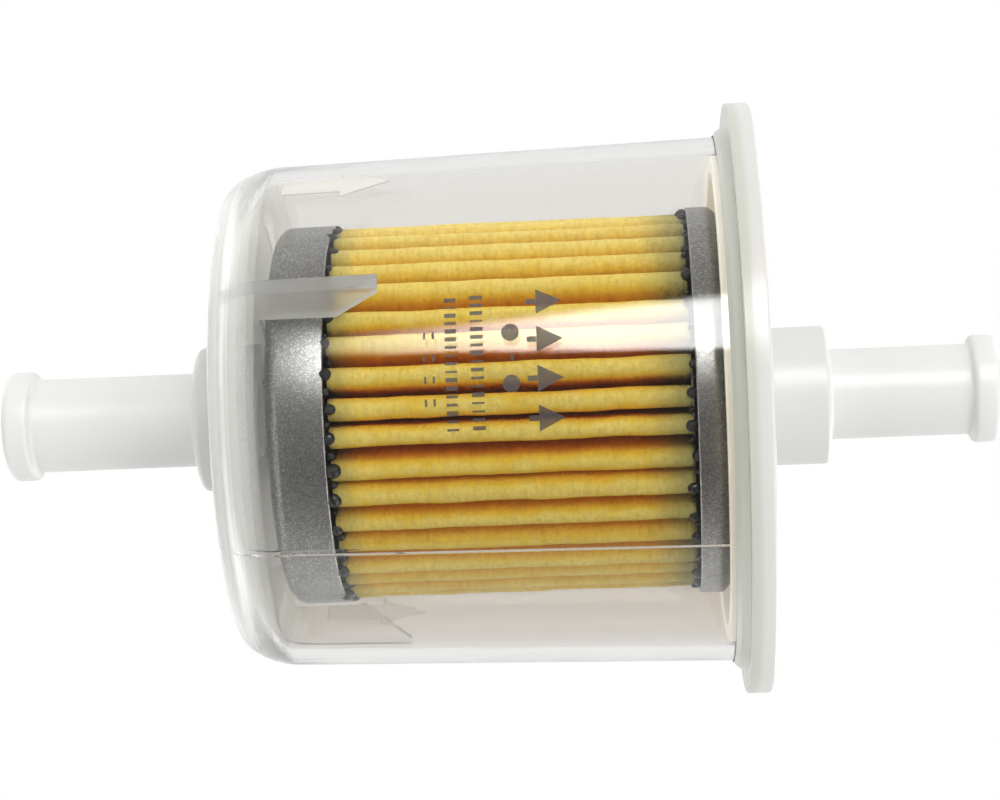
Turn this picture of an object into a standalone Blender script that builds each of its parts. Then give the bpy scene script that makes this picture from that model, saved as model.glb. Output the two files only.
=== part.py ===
"""In-line fuel filter: a clear moulded housing that holds a pleated paper element.

The X axis runs along the flow, from the inlet spigot at -X to the outlet spigot at +X.
The origin is on that axis, midway between the two spigot ends, and +Z is up.
Angles round the axis start at the front, -Y, and grow towards +Z.
"""

from math import cos, pi, radians, sin

import bmesh
import bpy
from mathutils import Matrix, Vector

MM = 0.001

# Driving dimensions, in metres. X values are stations along the flow axis.
HALF_LENGTH = 43.7 * MM
BORE_RADIUS = 3.1 * MM
TOUCH_GAP = 0.3 * MM

# Housing
WALL = 1.3 * MM
SHELL_END_X = -22.65 * MM
SHELL_MOUTH_X = 20.4 * MM
SHELL_END_RADIUS = 20.05 * MM
SHELL_MOUTH_RADIUS = 23.0 * MM
SHELL_DRAFT = 0.0247
SHOULDER_LENGTH = 4.3 * MM
SHOULDER_FULLNESS = 1.57
BOSS_LENGTH = 3.85 * MM
BOSS_RADIUS = 6.38 * MM
BOSS_EDGE = 0.5 * MM
INLET_RADIUS = 4.13 * MM
INLET_BEAD_RADIUS = 4.85 * MM
INLET_BEAD_LENGTH = 2.5 * MM
ROOT_FILLET = 0.4 * MM

# Locating fins and moulded flow arrows on the housing
FIN_ANGLES = (radians(30.0), radians(150.0), radians(-90.0))
FIN_THICKNESS = 1.3 * MM
FIN_TIP_X = -8.6 * MM
FIN_INNER_TIP_X = -12.4 * MM
FIN_STOP_RADIUS = 13.4 * MM
ARROW_ANGLES = (radians(63.0), radians(-117.0))
ARROW_TAIL_X = -17.3 * MM
ARROW_NECK_X = -12.3 * MM
ARROW_TIP_X = -7.5 * MM
ARROW_SHAFT_WIDTH = 3.1 * MM
ARROW_HEAD_WIDTH = 5.0 * MM
ARROW_THICKNESS = 0.7 * MM

# Outlet cover
FLANGE_X = 20.7 * MM
FLANGE_THICKNESS = 2.1 * MM
FLANGE_RADIUS = 25.85 * MM
FLANGE_EDGE = 0.25 * MM
PLUG_X = 19.2 * MM
PLUG_RADIUS = 21.3 * MM
PLUG_WALL = 1.4 * MM
HUB_END_X = 28.8 * MM
HUB_RADIUS = 6.05 * MM
OUTLET_RADIUS = 3.95 * MM
OUTLET_BEAD_RADIUS = 4.7 * MM
OUTLET_BEAD_LENGTH = 2.3 * MM
STUB_X = 17.1 * MM
STUB_RADIUS = 5.0 * MM

# Weld bead between the shell's mouth and the cover
WELD_RADIUS = 24.0 * MM
WELD_LENGTH = 0.95 * MM

# Filter element
INLET_CAP_X = -18.6 * MM
INLET_CAP_LIP_X = -13.6 * MM
INLET_CAP_RADIUS = 16.65 * MM
OUTLET_CAP_X = 19.7 * MM
OUTLET_CAP_LIP_X = 17.0 * MM
OUTLET_CAP_RADIUS = 17.0 * MM
CAP_SHEET = 0.35 * MM
CAP_CORNER = 1.2 * MM
CAP_HOLE_RADIUS = 6.6 * MM
SEAL_BORE_RADIUS = 5.3 * MM
SEAL_FLANGE_RADIUS = 8.4 * MM
SEAL_FLANGE = 0.4 * MM
CORE_RADIUS = 8.0 * MM
CORE_SHEET = 0.5 * MM
CORE_HOLE_RADIUS = 1.5 * MM
CORE_HOLES_AROUND = 6
CORE_HOLE_ROWS = 5

# Pleated paper
PLEATS = 39
PAPER = 0.4 * MM
PLEAT_CREST_RADIUS = 16.0 * MM
PLEAT_ROOT_RADIUS = 8.7 * MM
PLEAT_CREST_WIDTH = 1.3 * MM
PLEAT_ROOT_WIDTH = 0.6 * MM
SEAM_ANGLE = radians(180.0)
CLIP_SHEET = 0.35 * MM
CLIP_WIDTH = 2.2 * MM
CLIP_DEPTH = 2.8 * MM

FINE_STEPS = 48
SMALL_STEPS = 24
SMOOTH_ANGLE = radians(35.0)

# Colours, roughness and metallic value of each material
CLEAR_NYLON = (0.86, 0.87, 0.84, 0.14, 0.0)
MILKY_NYLON = (0.80, 0.82, 0.78, 0.30, 0.0)
PLATED_STEEL = (0.36, 0.36, 0.36, 0.38, 1.0)
YELLOW_PAPER = (0.78, 0.55, 0.14, 0.85, 0.0)
BLACK_ADHESIVE = (0.02, 0.022, 0.024, 0.30, 0.0)
BLACK_RUBBER = (0.03, 0.03, 0.03, 0.60, 0.0)


def clear_scene():
    """Remove every object that the scene holds."""
    for thing in list(bpy.data.objects):
        bpy.data.objects.remove(thing, do_unlink=True)


def new_collection(name):
    """Make a collection under the scene's own and return it."""
    collection = bpy.data.collections.new(name)
    bpy.context.scene.collection.children.link(collection)
    return collection


def principled(name, look):
    """Make a Principled material from a colour, a roughness and a metallic value."""
    material = bpy.data.materials.new(name)
    material.use_nodes = True
    shader = material.node_tree.nodes["Principled BSDF"]
    shader.inputs["Base Color"].default_value = (*look[:3], 1.0)
    shader.inputs["Roughness"].default_value = look[3]
    shader.inputs["Metallic"].default_value = look[4]
    return material


def add_object(name, mesh, collection, material=None):
    """Put a mesh into the scene as a named object."""
    thing = bpy.data.objects.new(name, mesh)
    collection.objects.link(thing)
    if material:
        mesh.materials.append(material)
    return thing


def as_cutter(thing):
    """Mark an object as a construction piece that isn't part of the model."""
    thing.hide_render = True
    thing.display_type = "WIRE"
    return thing


def arc(centre_x, centre_radius, radius, start, end, steps=3):
    """Points (x, r) on a round stretch of a profile, from angle start to angle end."""
    points = []
    for step in range(steps + 1):
        angle = start + (end - start) * step / steps
        points.append((centre_x + radius * cos(angle), centre_radius + radius * sin(angle)))
    return points


def turned(name, profile, collection, material, steps=FINE_STEPS):
    """Turn a closed profile of (x, r) points round the X axis.

    The profile runs along the outer side from +X to -X and comes back along the inner side.
    """
    mesh = bpy.data.meshes.new(name)
    vertices = [(radius, 0.0, x) for x, radius in profile]
    edges = [(here, (here + 1) % len(profile)) for here in range(len(profile))]
    mesh.from_pydata(vertices, edges, [])
    mesh.update()
    thing = add_object(name, mesh, collection, material)
    thing.rotation_euler = (0.0, pi / 2, 0.0)
    screw = thing.modifiers.new("Turn", "SCREW")
    screw.axis = "Z"
    screw.angle = 2 * pi
    screw.steps = steps
    screw.render_steps = steps
    screw.use_merge_vertices = True
    screw.merge_threshold = 0.00001
    screw.use_smooth_shade = True
    return thing


def plate(name, outline, thickness, collection):
    """Make a flat plate from an outline in its local XY plane, centred on that plane."""
    curve = bpy.data.curves.new(name, "CURVE")
    curve.dimensions = "2D"
    curve.fill_mode = "BOTH"
    curve.extrude = thickness / 2
    spline = curve.splines.new("POLY")
    spline.points.add(len(outline) - 1)
    for point, (x, y) in zip(spline.points, outline):
        point.co = (x, y, 0.0, 1.0)
    spline.use_cyclic_u = True
    flat = bpy.data.objects.new(name + "_outline", curve)
    collection.objects.link(flat)
    bpy.context.view_layer.update()
    evaluated = flat.evaluated_get(bpy.context.evaluated_depsgraph_get())
    mesh = bpy.data.meshes.new_from_object(evaluated)
    bpy.data.objects.remove(flat, do_unlink=True)
    welded = bmesh.new()
    welded.from_mesh(mesh)
    bmesh.ops.remove_doubles(welded, verts=welded.verts, dist=0.00001)
    bmesh.ops.recalc_face_normals(welded, faces=welded.faces)
    welded.to_mesh(mesh)
    welded.free()
    return as_cutter(add_object(name, mesh, collection))


def shell_radius(x):
    """Outer radius of the housing's drafted wall at station x."""
    return SHELL_MOUTH_RADIUS - SHELL_DRAFT * (SHELL_MOUTH_X - x)


def shell_outline(inset, steps):
    """The shell's curve from its mouth to its end wall, moved inwards by inset."""
    shoulder_x = SHELL_END_X + SHOULDER_LENGTH
    rise = shell_radius(shoulder_x) - SHELL_END_RADIUS
    end_x = SHELL_END_X + inset
    length = SHOULDER_LENGTH - inset
    points = [(SHELL_MOUTH_X, SHELL_MOUTH_RADIUS - inset)]
    for step in range(steps + 1):
        angle = pi / 2 * (1 - step / steps)
        along = 1 - max(cos(angle), 0.0) ** (2 / SHOULDER_FULLNESS)
        out = max(sin(angle), 0.0) ** (2 / SHOULDER_FULLNESS)
        points.append((end_x + length * along, SHELL_END_RADIUS - inset + rise * out))
    return points


def build_housing(collection, guides, material):
    """Clear shell with its inlet spigot, locating fins and flow arrows."""
    boss_x = SHELL_END_X - BOSS_LENGTH
    profile = shell_outline(0.0, 8)
    profile += [(SHELL_END_X, BOSS_RADIUS)]
    profile += arc(boss_x + BOSS_EDGE, BOSS_RADIUS - BOSS_EDGE, BOSS_EDGE, pi / 2, pi, 2)
    profile += arc(boss_x - ROOT_FILLET, INLET_RADIUS + ROOT_FILLET, ROOT_FILLET, 0.0, -pi / 2, 2)
    bead_end = -HALF_LENGTH + INLET_BEAD_LENGTH
    bead_half = INLET_BEAD_LENGTH / 2
    bead_centre = INLET_BEAD_RADIUS - bead_half
    profile += [(bead_end, INLET_RADIUS)]
    profile += arc(-HALF_LENGTH + bead_half, bead_centre, bead_half, radians(25), pi, 5)
    profile += [(-HALF_LENGTH, BORE_RADIUS)]
    profile += [(SHELL_END_X + WALL, BORE_RADIUS)]
    profile += list(reversed(shell_outline(WALL, 5)))
    shell = turned("housing", profile, collection, material)

    inner_end = SHELL_END_X + WALL
    cap_clear = INLET_CAP_RADIUS + TOUCH_GAP
    stop_x = INLET_CAP_X - TOUCH_GAP
    root = WALL / 2
    for number, angle in enumerate(FIN_ANGLES, start=1):
        outline = [
            (inner_end - root, FIN_STOP_RADIUS),
            (stop_x, FIN_STOP_RADIUS),
            (stop_x, cap_clear),
            (FIN_INNER_TIP_X, cap_clear),
            (FIN_TIP_X, shell_radius(FIN_TIP_X) - WALL - root),
            (FIN_TIP_X, shell_radius(FIN_TIP_X) - root),
        ]
        outline += shell_outline(root, 4)[1:]
        fin = plate(f"fin_{number}", outline, FIN_THICKNESS, guides)
        fin.rotation_euler = (pi - angle, 0.0, 0.0)

    middle_x = (ARROW_TAIL_X + ARROW_TIP_X) / 2
    for number, angle in enumerate(ARROW_ANGLES, start=1):
        half_shaft = ARROW_SHAFT_WIDTH / 2
        half_head = ARROW_HEAD_WIDTH / 2
        outline = [
            (ARROW_TAIL_X - middle_x, -half_shaft),
            (ARROW_NECK_X - middle_x, -half_shaft),
            (ARROW_NECK_X - middle_x, -half_head),
            (ARROW_TIP_X - middle_x, 0.0),
            (ARROW_NECK_X - middle_x, half_head),
            (ARROW_NECK_X - middle_x, half_shaft),
            (ARROW_TAIL_X - middle_x, half_shaft),
        ]
        arrow = plate(f"arrow_{number}", outline, ARROW_THICKNESS, guides)
        out = Vector((0.0, -cos(angle), sin(angle)))
        arrow.location = Vector((middle_x, 0.0, 0.0)) + out * shell_radius(middle_x)
        turn = Matrix.Rotation(pi / 2 - angle, 4, "X") @ Matrix.Rotation(-SHELL_DRAFT, 4, "Y")
        arrow.rotation_euler = turn.to_euler()

    join = shell.modifiers.new("Join fins and arrows", "BOOLEAN")
    join.operation = "UNION"
    join.operand_type = "COLLECTION"
    join.collection = guides
    join.solver = "EXACT"
    return shell


def build_cover(collection, material):
    """Flanged cover with its locating ring, outlet spigot, hub and inner stub."""
    flange_end = FLANGE_X + FLANGE_THICKNESS
    bead_end = HALF_LENGTH - OUTLET_BEAD_LENGTH
    bead_edge = (OUTLET_BEAD_RADIUS - BORE_RADIUS) / 2
    edge = FLANGE_EDGE
    profile = [(HALF_LENGTH, BORE_RADIUS)]
    profile += arc(HALF_LENGTH - bead_edge, OUTLET_BEAD_RADIUS - bead_edge, bead_edge, 0, pi / 2, 3)
    profile += arc(bead_end + 0.5 * MM, OUTLET_BEAD_RADIUS - 0.5 * MM, 0.5 * MM, pi / 2, pi, 2)
    profile += [(bead_end, OUTLET_RADIUS)]
    profile += arc(HUB_END_X + ROOT_FILLET, OUTLET_RADIUS + ROOT_FILLET, ROOT_FILLET, -pi / 2, -pi, 2)
    profile += arc(HUB_END_X - edge, HUB_RADIUS - edge, edge, 0.0, pi / 2, 2)
    profile += arc(flange_end + ROOT_FILLET, HUB_RADIUS + ROOT_FILLET, ROOT_FILLET, -pi / 2, -pi, 2)
    profile += arc(flange_end - edge, FLANGE_RADIUS - edge, edge, 0.0, pi / 2, 2)
    profile += arc(FLANGE_X + edge, FLANGE_RADIUS - edge, edge, pi / 2, pi, 1)
    profile += [
        (FLANGE_X, PLUG_RADIUS),
        (PLUG_X, PLUG_RADIUS),
        (PLUG_X, PLUG_RADIUS - PLUG_WALL),
        (FLANGE_X, PLUG_RADIUS - PLUG_WALL),
        (FLANGE_X, STUB_RADIUS),
        (STUB_X, STUB_RADIUS),
        (STUB_X, BORE_RADIUS),
    ]
    return turned("outlet_cover", profile, collection, material)


def build_weld_bead(collection, material):
    """Ring of melted material in the corner between the shell and the cover."""
    right = FLANGE_X - TOUCH_GAP / 3
    inner = SHELL_MOUTH_RADIUS + TOUCH_GAP
    left = right - WELD_LENGTH
    profile = [
        (right, inner),
        (right, WELD_RADIUS),
        (right - WELD_LENGTH / 2, WELD_RADIUS - WELD_LENGTH / 5),
        (left, inner + WELD_LENGTH / 5),
        (left, inner),
    ]
    return turned("weld_bead", profile, collection, material)


def cap_profile(base_x, lip_x, radius, hole_radius):
    """Profile of a drawn sheet cup whose base is at base_x and whose open lip is at lip_x."""
    side = 1.0 if base_x > lip_x else -1.0
    corner = CAP_CORNER
    inner = corner - CAP_SHEET
    centre_x = base_x - side * corner
    centre_radius = radius - corner
    out_angle = 0.0 if side > 0 else pi
    outside = arc(centre_x, centre_radius, corner, out_angle, pi / 2)
    inside = arc(centre_x, centre_radius, inner, pi / 2, out_angle)
    profile = [(base_x, hole_radius)] + outside + [(lip_x, radius), (lip_x, radius - CAP_SHEET)]
    profile += inside + [(base_x - side * CAP_SHEET, hole_radius)]
    return profile if side > 0 else list(reversed(profile))


def build_end_caps(collection, material):
    """Two drawn steel cups that close the ends of the paper element."""
    inlet = cap_profile(INLET_CAP_X, INLET_CAP_LIP_X, INLET_CAP_RADIUS, 0.0)
    turned("inlet_end_cap", inlet, collection, material)
    outlet = cap_profile(OUTLET_CAP_X, OUTLET_CAP_LIP_X, OUTLET_CAP_RADIUS, CAP_HOLE_RADIUS)
    turned("outlet_end_cap", outlet, collection, material)


def build_adhesive(collection, material):
    """Discs of potting adhesive that fill the cups and bond the paper's ends."""
    inset = CAP_SHEET + TOUCH_GAP
    corner = CAP_CORNER - inset
    left = INLET_CAP_X + inset
    right = INLET_CAP_LIP_X - TOUCH_GAP / 6
    radius = INLET_CAP_RADIUS - inset
    disc = [(right, 0.0), (right, radius)]
    disc += arc(left + corner, radius - corner, corner, pi / 2, pi, 3) + [(left, 0.0)]
    turned("inlet_adhesive", disc, collection, material)
    left = OUTLET_CAP_LIP_X + TOUCH_GAP / 6
    right = OUTLET_CAP_X - inset
    radius = OUTLET_CAP_RADIUS - inset
    ring = [(right, CAP_HOLE_RADIUS)]
    ring += arc(right - corner, radius - corner, corner, 0.0, pi / 2, 3)
    ring += [(left, radius), (left, CAP_HOLE_RADIUS)]
    turned("outlet_adhesive", ring, collection, material)


def build_seal(collection, material):
    """Rubber bush between the cover's stub and the hole of the outlet cap."""
    right = FLANGE_X - TOUCH_GAP
    sleeve = CAP_HOLE_RADIUS - TOUCH_GAP
    profile = [
        (right, SEAL_BORE_RADIUS),
        (right, SEAL_FLANGE_RADIUS),
        (right - SEAL_FLANGE, SEAL_FLANGE_RADIUS),
        (right - SEAL_FLANGE, sleeve),
        (OUTLET_CAP_LIP_X + TOUCH_GAP, sleeve),
        (OUTLET_CAP_LIP_X + TOUCH_GAP, SEAL_BORE_RADIUS),
    ]
    turned("outlet_seal", profile, collection, material, SMALL_STEPS)


def paper_ends():
    """Stations where the paper and the core start and end, clear of the adhesive."""
    return INLET_CAP_LIP_X + TOUCH_GAP, OUTLET_CAP_LIP_X - TOUCH_GAP


def build_centre_tube(collection, cutters, material):
    """Perforated tube that holds the paper up against the flow."""
    left, right = paper_ends()
    inner = CORE_RADIUS - CORE_SHEET
    profile = [(right, inner), (right, CORE_RADIUS), (left, CORE_RADIUS), (left, inner)]
    tube = turned("centre_tube", profile, collection, material, SMALL_STEPS)
    pegs = bmesh.new()
    pitch = (right - left) / CORE_HOLE_ROWS
    for row in range(CORE_HOLE_ROWS):
        x = left + pitch * (row + 0.5)
        for column in range(CORE_HOLES_AROUND):
            angle = 2 * pi * (column + 0.5 * (row % 2) + 0.25) / CORE_HOLES_AROUND
            out = Vector((0.0, -cos(angle), sin(angle)))
            turn = out.to_track_quat("Z", "Y").to_matrix().to_4x4()
            place = Matrix.Translation(Vector((x, 0.0, 0.0)) + out * CORE_RADIUS) @ turn
            bmesh.ops.create_cone(pegs, cap_ends=True, segments=8, radius1=CORE_HOLE_RADIUS,
                                  radius2=CORE_HOLE_RADIUS, depth=4 * CORE_HOLE_RADIUS, matrix=place)
    mesh = bpy.data.meshes.new("core_pegs")
    pegs.to_mesh(mesh)
    pegs.free()
    cutter = as_cutter(add_object("core_pegs", mesh, cutters))
    cut = tube.modifiers.new("Perforate", "BOOLEAN")
    cut.operation = "DIFFERENCE"
    cut.object = cutter
    cut.solver = "EXACT"


def pleat_path():
    """Section of the folded sheet as (angle, radius) points, from one seam leg to the other."""
    leg = PAPER / 2 + TOUCH_GAP / 2
    pitch = 2 * pi / PLEATS
    crest = PLEAT_CREST_WIDTH / 2 / PLEAT_CREST_RADIUS
    root = PLEAT_ROOT_WIDTH / 2 / PLEAT_ROOT_RADIUS
    points = [(leg / PLEAT_CREST_RADIUS, PLEAT_CREST_RADIUS - CLIP_SHEET - TOUCH_GAP)]
    points += [(leg / PLEAT_ROOT_RADIUS, PLEAT_ROOT_RADIUS), (pitch / 2 + root, PLEAT_ROOT_RADIUS)]
    for number in range(1, PLEATS):
        middle = number * pitch
        points += [(middle - crest, PLEAT_CREST_RADIUS), (middle + crest, PLEAT_CREST_RADIUS)]
        valley = middle + pitch / 2
        if number < PLEATS - 1:
            points += [(valley - root, PLEAT_ROOT_RADIUS), (valley + root, PLEAT_ROOT_RADIUS)]
    for angle, radius in reversed(points[:3]):
        points.append((2 * pi - angle, radius))
    return points


def build_pleated_paper(collection, material):
    """Folded paper sheet whose two end legs meet under the seam clip."""
    left, right = paper_ends()
    sheet = bmesh.new()
    rows = []
    for angle, radius in pleat_path():
        turn = SEAM_ANGLE + angle
        y = -radius * cos(turn)
        z = radius * sin(turn)
        rows.append([sheet.verts.new((x, y, z)) for x in (left, right)])
    for here, there in zip(rows, rows[1:]):
        sheet.faces.new((here[0], here[1], there[1], there[0]))
    mesh = bpy.data.meshes.new("pleated_paper")
    sheet.to_mesh(mesh)
    sheet.free()
    thing = add_object("pleated_paper", mesh, collection, material)
    thick = thing.modifiers.new("Paper thickness", "SOLIDIFY")
    thick.thickness = PAPER
    thick.offset = 0.0
    thick.use_even_offset = True


def build_seam_clip(collection, material):
    """Folded steel strip that clamps the two ends of the paper together."""
    left, right = paper_ends()
    top = PLEAT_CREST_RADIUS
    low = top - CLIP_DEPTH
    half = CLIP_WIDTH / 2
    outline = [
        (-half, low),
        (-half, top),
        (half, top),
        (half, low),
        (half - CLIP_SHEET, low),
        (half - CLIP_SHEET, top - CLIP_SHEET),
        (CLIP_SHEET - half, top - CLIP_SHEET),
        (CLIP_SHEET - half, low),
    ]
    clip = plate("seam_clip", outline, right - left, collection)
    clip.hide_render = False
    clip.display_type = "TEXTURED"
    clip.data.materials.append(material)
    clip.location = ((left + right) / 2, 0.0, 0.0)
    stand = Matrix.Rotation(pi - SEAM_ANGLE, 4, "X") @ Matrix.Rotation(pi / 2, 4, "Y")
    clip.rotation_euler = stand.to_euler()


def finish_shading(collection):
    """Shade round pieces smooth and keep their corners sharp."""
    for thing in collection.objects:
        thing.data.shade_smooth()
        thing.data.set_sharp_from_angle(angle=SMOOTH_ANGLE)


def main():
    """Build the whole filter."""
    clear_scene()
    parts = new_collection("fuel_filter")
    guides = new_collection("housing_guides")
    cutters = new_collection("cutters")
    clear = principled("clear_nylon", CLEAR_NYLON)
    milky = principled("milky_nylon", MILKY_NYLON)
    weld = principled("weld_nylon", MILKY_NYLON)
    steel = principled("plated_steel", PLATED_STEEL)
    paper = principled("yellow_paper", YELLOW_PAPER)
    adhesive = principled("black_adhesive", BLACK_ADHESIVE)
    rubber = principled("black_rubber", BLACK_RUBBER)

    build_housing(parts, guides, clear)
    build_cover(parts, milky)
    build_weld_bead(parts, weld)
    build_end_caps(parts, steel)
    build_adhesive(parts, adhesive)
    build_seal(parts, rubber)
    build_centre_tube(parts, cutters, steel)
    build_pleated_paper(parts, paper)
    build_seam_clip(parts, steel)
    finish_shading(parts)


main()
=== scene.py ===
"""Looks of an in-line fuel filter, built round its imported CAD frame.

The X axis runs along the flow, from the inlet spigot at -X to the outlet spigot at +X, and +Z is up.
Angles round that axis start at the front, -Y, and grow towards +Z. Every length is in metres.
"""

import logging
from collections.abc import Callable, Mapping, Sequence
from dataclasses import dataclass, field
from enum import Enum
from math import atan2, cos, pi, radians, sin, tan
from typing import Any, ClassVar

import bmesh
import bpy
from mathutils import Matrix, Vector


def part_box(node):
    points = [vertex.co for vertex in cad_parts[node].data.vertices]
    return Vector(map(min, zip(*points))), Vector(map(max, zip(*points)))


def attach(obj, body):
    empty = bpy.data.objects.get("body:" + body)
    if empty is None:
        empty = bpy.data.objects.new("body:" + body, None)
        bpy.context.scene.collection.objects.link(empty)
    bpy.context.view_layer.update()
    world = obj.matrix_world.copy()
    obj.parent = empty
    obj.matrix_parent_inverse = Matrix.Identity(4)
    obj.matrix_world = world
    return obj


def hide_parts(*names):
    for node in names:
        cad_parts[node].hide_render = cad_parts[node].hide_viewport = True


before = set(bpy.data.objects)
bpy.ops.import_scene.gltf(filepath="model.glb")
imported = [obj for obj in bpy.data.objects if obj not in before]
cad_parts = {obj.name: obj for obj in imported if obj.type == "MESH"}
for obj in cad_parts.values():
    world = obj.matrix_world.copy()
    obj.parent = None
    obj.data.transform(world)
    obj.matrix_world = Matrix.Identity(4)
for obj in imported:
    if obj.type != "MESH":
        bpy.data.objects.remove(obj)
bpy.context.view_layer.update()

LOG = logging.getLogger("fuel_filter")
MM = 0.001
BODY = "root"
TAU = 2 * pi

Colour = tuple[float, float, float]
Pair = tuple[float, float]
Profile = list[Pair]
Material = bpy.types.Material
Thing = bpy.types.Object


class Slot(Enum):
    """Material slots of the part."""

    CLEAR_NYLON = "clear_nylon"
    MILKY_NYLON = "milky_nylon"
    PLATED_STEEL = "plated_steel"
    FILTER_PAPER = "filter_paper"
    BLACK_ADHESIVE = "black_adhesive"


class Mark(Enum):
    """Shapes of printed marks."""

    HEAD = 3
    BAR = 4
    DISC = 16


class Cup(Enum):
    """The two steel cups of the element, by their CAD node."""

    INLET = "inlet_end_cap"
    OUTLET = "outlet_end_cap"

    @property
    def opening(self) -> float:
        """Return 1 for a cup that opens towards +X and -1 for the other."""
        return 1.0 if self is Cup.INLET else -1.0


# Node graphs


def _operator(operation: str, reflected: bool = False) -> Callable[["Value", "Value | float"], "Value"]:
    """Return an arithmetic method of Value.

    Args:
        operation: the operation of the Math node that the method adds.
        reflected: the value is the node's second input, for a number on the left.

    Returns:
        The method.
    """
    def method(this: "Value", other: "Value | float") -> "Value":
        """Add the Math node."""
        inputs = {0: other, 1: this} if reflected else {0: this, 1: other}
        return this.graph.node("ShaderNodeMath", {"operation": operation}, inputs)

    return method


class Value:
    """An output socket of a node graph, with arithmetic that adds Math nodes."""

    def __init__(self, graph: "Graph", socket: bpy.types.NodeSocket) -> None:
        """Wrap a socket of a graph."""
        self.graph = graph
        self.socket = socket

    def maths(self, operation: str, *others: "Value | float") -> "Value":
        """Add a Math node whose first input is this value.

        Args:
            operation: the Math node's operation.
            others: the node's remaining inputs.

        Returns:
            The node's result.
        """
        inputs = dict(enumerate((self, *others)))
        return self.graph.node("ShaderNodeMath", {"operation": operation}, inputs)

    __add__ = __radd__ = _operator("ADD")
    __mul__ = __rmul__ = _operator("MULTIPLY")
    __sub__, __rsub__ = _operator("SUBTRACT"), _operator("SUBTRACT", reflected=True)
    __truediv__, __rtruediv__ = _operator("DIVIDE"), _operator("DIVIDE", reflected=True)
    __pow__ = _operator("POWER")

    def __abs__(self) -> "Value":
        """Return this value without its sign."""
        return self.maths("ABSOLUTE")

    def span(self, low: float, high: float, to_low: float = 0.0, to_high: float = 1.0,
             smooth: bool = False) -> "Value":
        """Map a range of this value to another range and hold it at both ends.

        Args:
            low: the value that gives to_low.
            high: the value that gives to_high.
            to_low: result at low.
            to_high: result at high.
            smooth: ease in and out of both ends.

        Returns:
            The mapped value.
        """
        settings = {"interpolation_type": "SMOOTHSTEP" if smooth else "LINEAR"}
        inputs = {"Value": self, "From Min": low, "From Max": high, "To Min": to_low, "To Max": to_high}
        return self.graph.node("ShaderNodeMapRange", settings, inputs)


class Graph:
    """A node tree with one method that adds any node."""

    def __init__(self, tree: bpy.types.NodeTree) -> None:
        """Start on an existing tree."""
        self.tree = tree

    def add(self, kind: str, settings: Mapping[str, Any] | None = None,
            inputs: Mapping[str | int, Any] | None = None) -> bpy.types.Node:
        """Add a node, set its settings first and then its inputs.

        Args:
            kind: the node's type name.
            settings: attributes of the node; stops is a colour ramp's list of (place, colour).
            inputs: numbers, colours or Values by the input's name or number.

        Returns:
            The node.
        """
        node = self.tree.nodes.new(kind)
        for name, value in (settings or {}).items():
            if name == "stops":
                self._set_stops(node.color_ramp, value)
            else:
                setattr(node, name, value)
        for name, value in (inputs or {}).items():
            socket = self._find(node.inputs, name)
            if isinstance(value, Value):
                self.tree.links.new(value.socket, socket)
            else:
                socket.default_value = value
        return node

    def node(self, kind: str, settings: Mapping[str, Any] | None = None,
             inputs: Mapping[str | int, Any] | None = None, output: str | int = 0) -> Value:
        """Add a node and wrap one of its outputs.

        Args:
            kind: the node's type name.
            settings: attributes of the node.
            inputs: values of its inputs.
            output: the name or number of the output.

        Returns:
            The wrapped output.
        """
        made = self.add(kind, settings, inputs)
        return Value(self, self._find(made.outputs, output))

    def mix(self, factor: Value | float, first: Value | Colour, second: Value | Colour,
            blend: str = "MIX") -> Value:
        """Mix two colours."""
        pad = [value if isinstance(value, Value) else (*value, 1.0) for value in (first, second)]
        settings = {"data_type": "RGBA", "blend_type": blend}
        return self.node("ShaderNodeMix", settings, {"Factor": factor, "A": pad[0], "B": pad[1]},
                         "Result")

    def axes(self, vector: Value) -> tuple[Value, Value, Value]:
        """Split a vector into X, Y and Z."""
        split = self.add("ShaderNodeSeparateXYZ", inputs={0: vector})
        x, y, z = (Value(self, socket) for socket in split.outputs)
        return x, y, z

    def vector(self, x: Value | float, y: Value | float, z: Value | float) -> Value:
        """Join three numbers to a vector."""
        return self.node("ShaderNodeCombineXYZ", inputs={"X": x, "Y": y, "Z": z})

    @staticmethod
    def _find(sockets: Sequence[bpy.types.NodeSocket], name: str | int) -> bpy.types.NodeSocket:
        """Find a socket by its name or by its number among the enabled ones."""
        enabled = [socket for socket in sockets if socket.enabled]
        return enabled[name] if isinstance(name, int) else next(s for s in enabled if s.name == name)

    @staticmethod
    def _set_stops(ramp: bpy.types.ColorRamp, stops: Sequence[tuple[float, Colour]]) -> None:
        """Give a colour ramp its stops."""
        while len(ramp.elements) < len(stops):
            ramp.elements.new(0.5)
        for element, (place, colour) in zip(ramp.elements, stops):
            element.position = place
            element.color = (*colour, 1.0)


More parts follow.
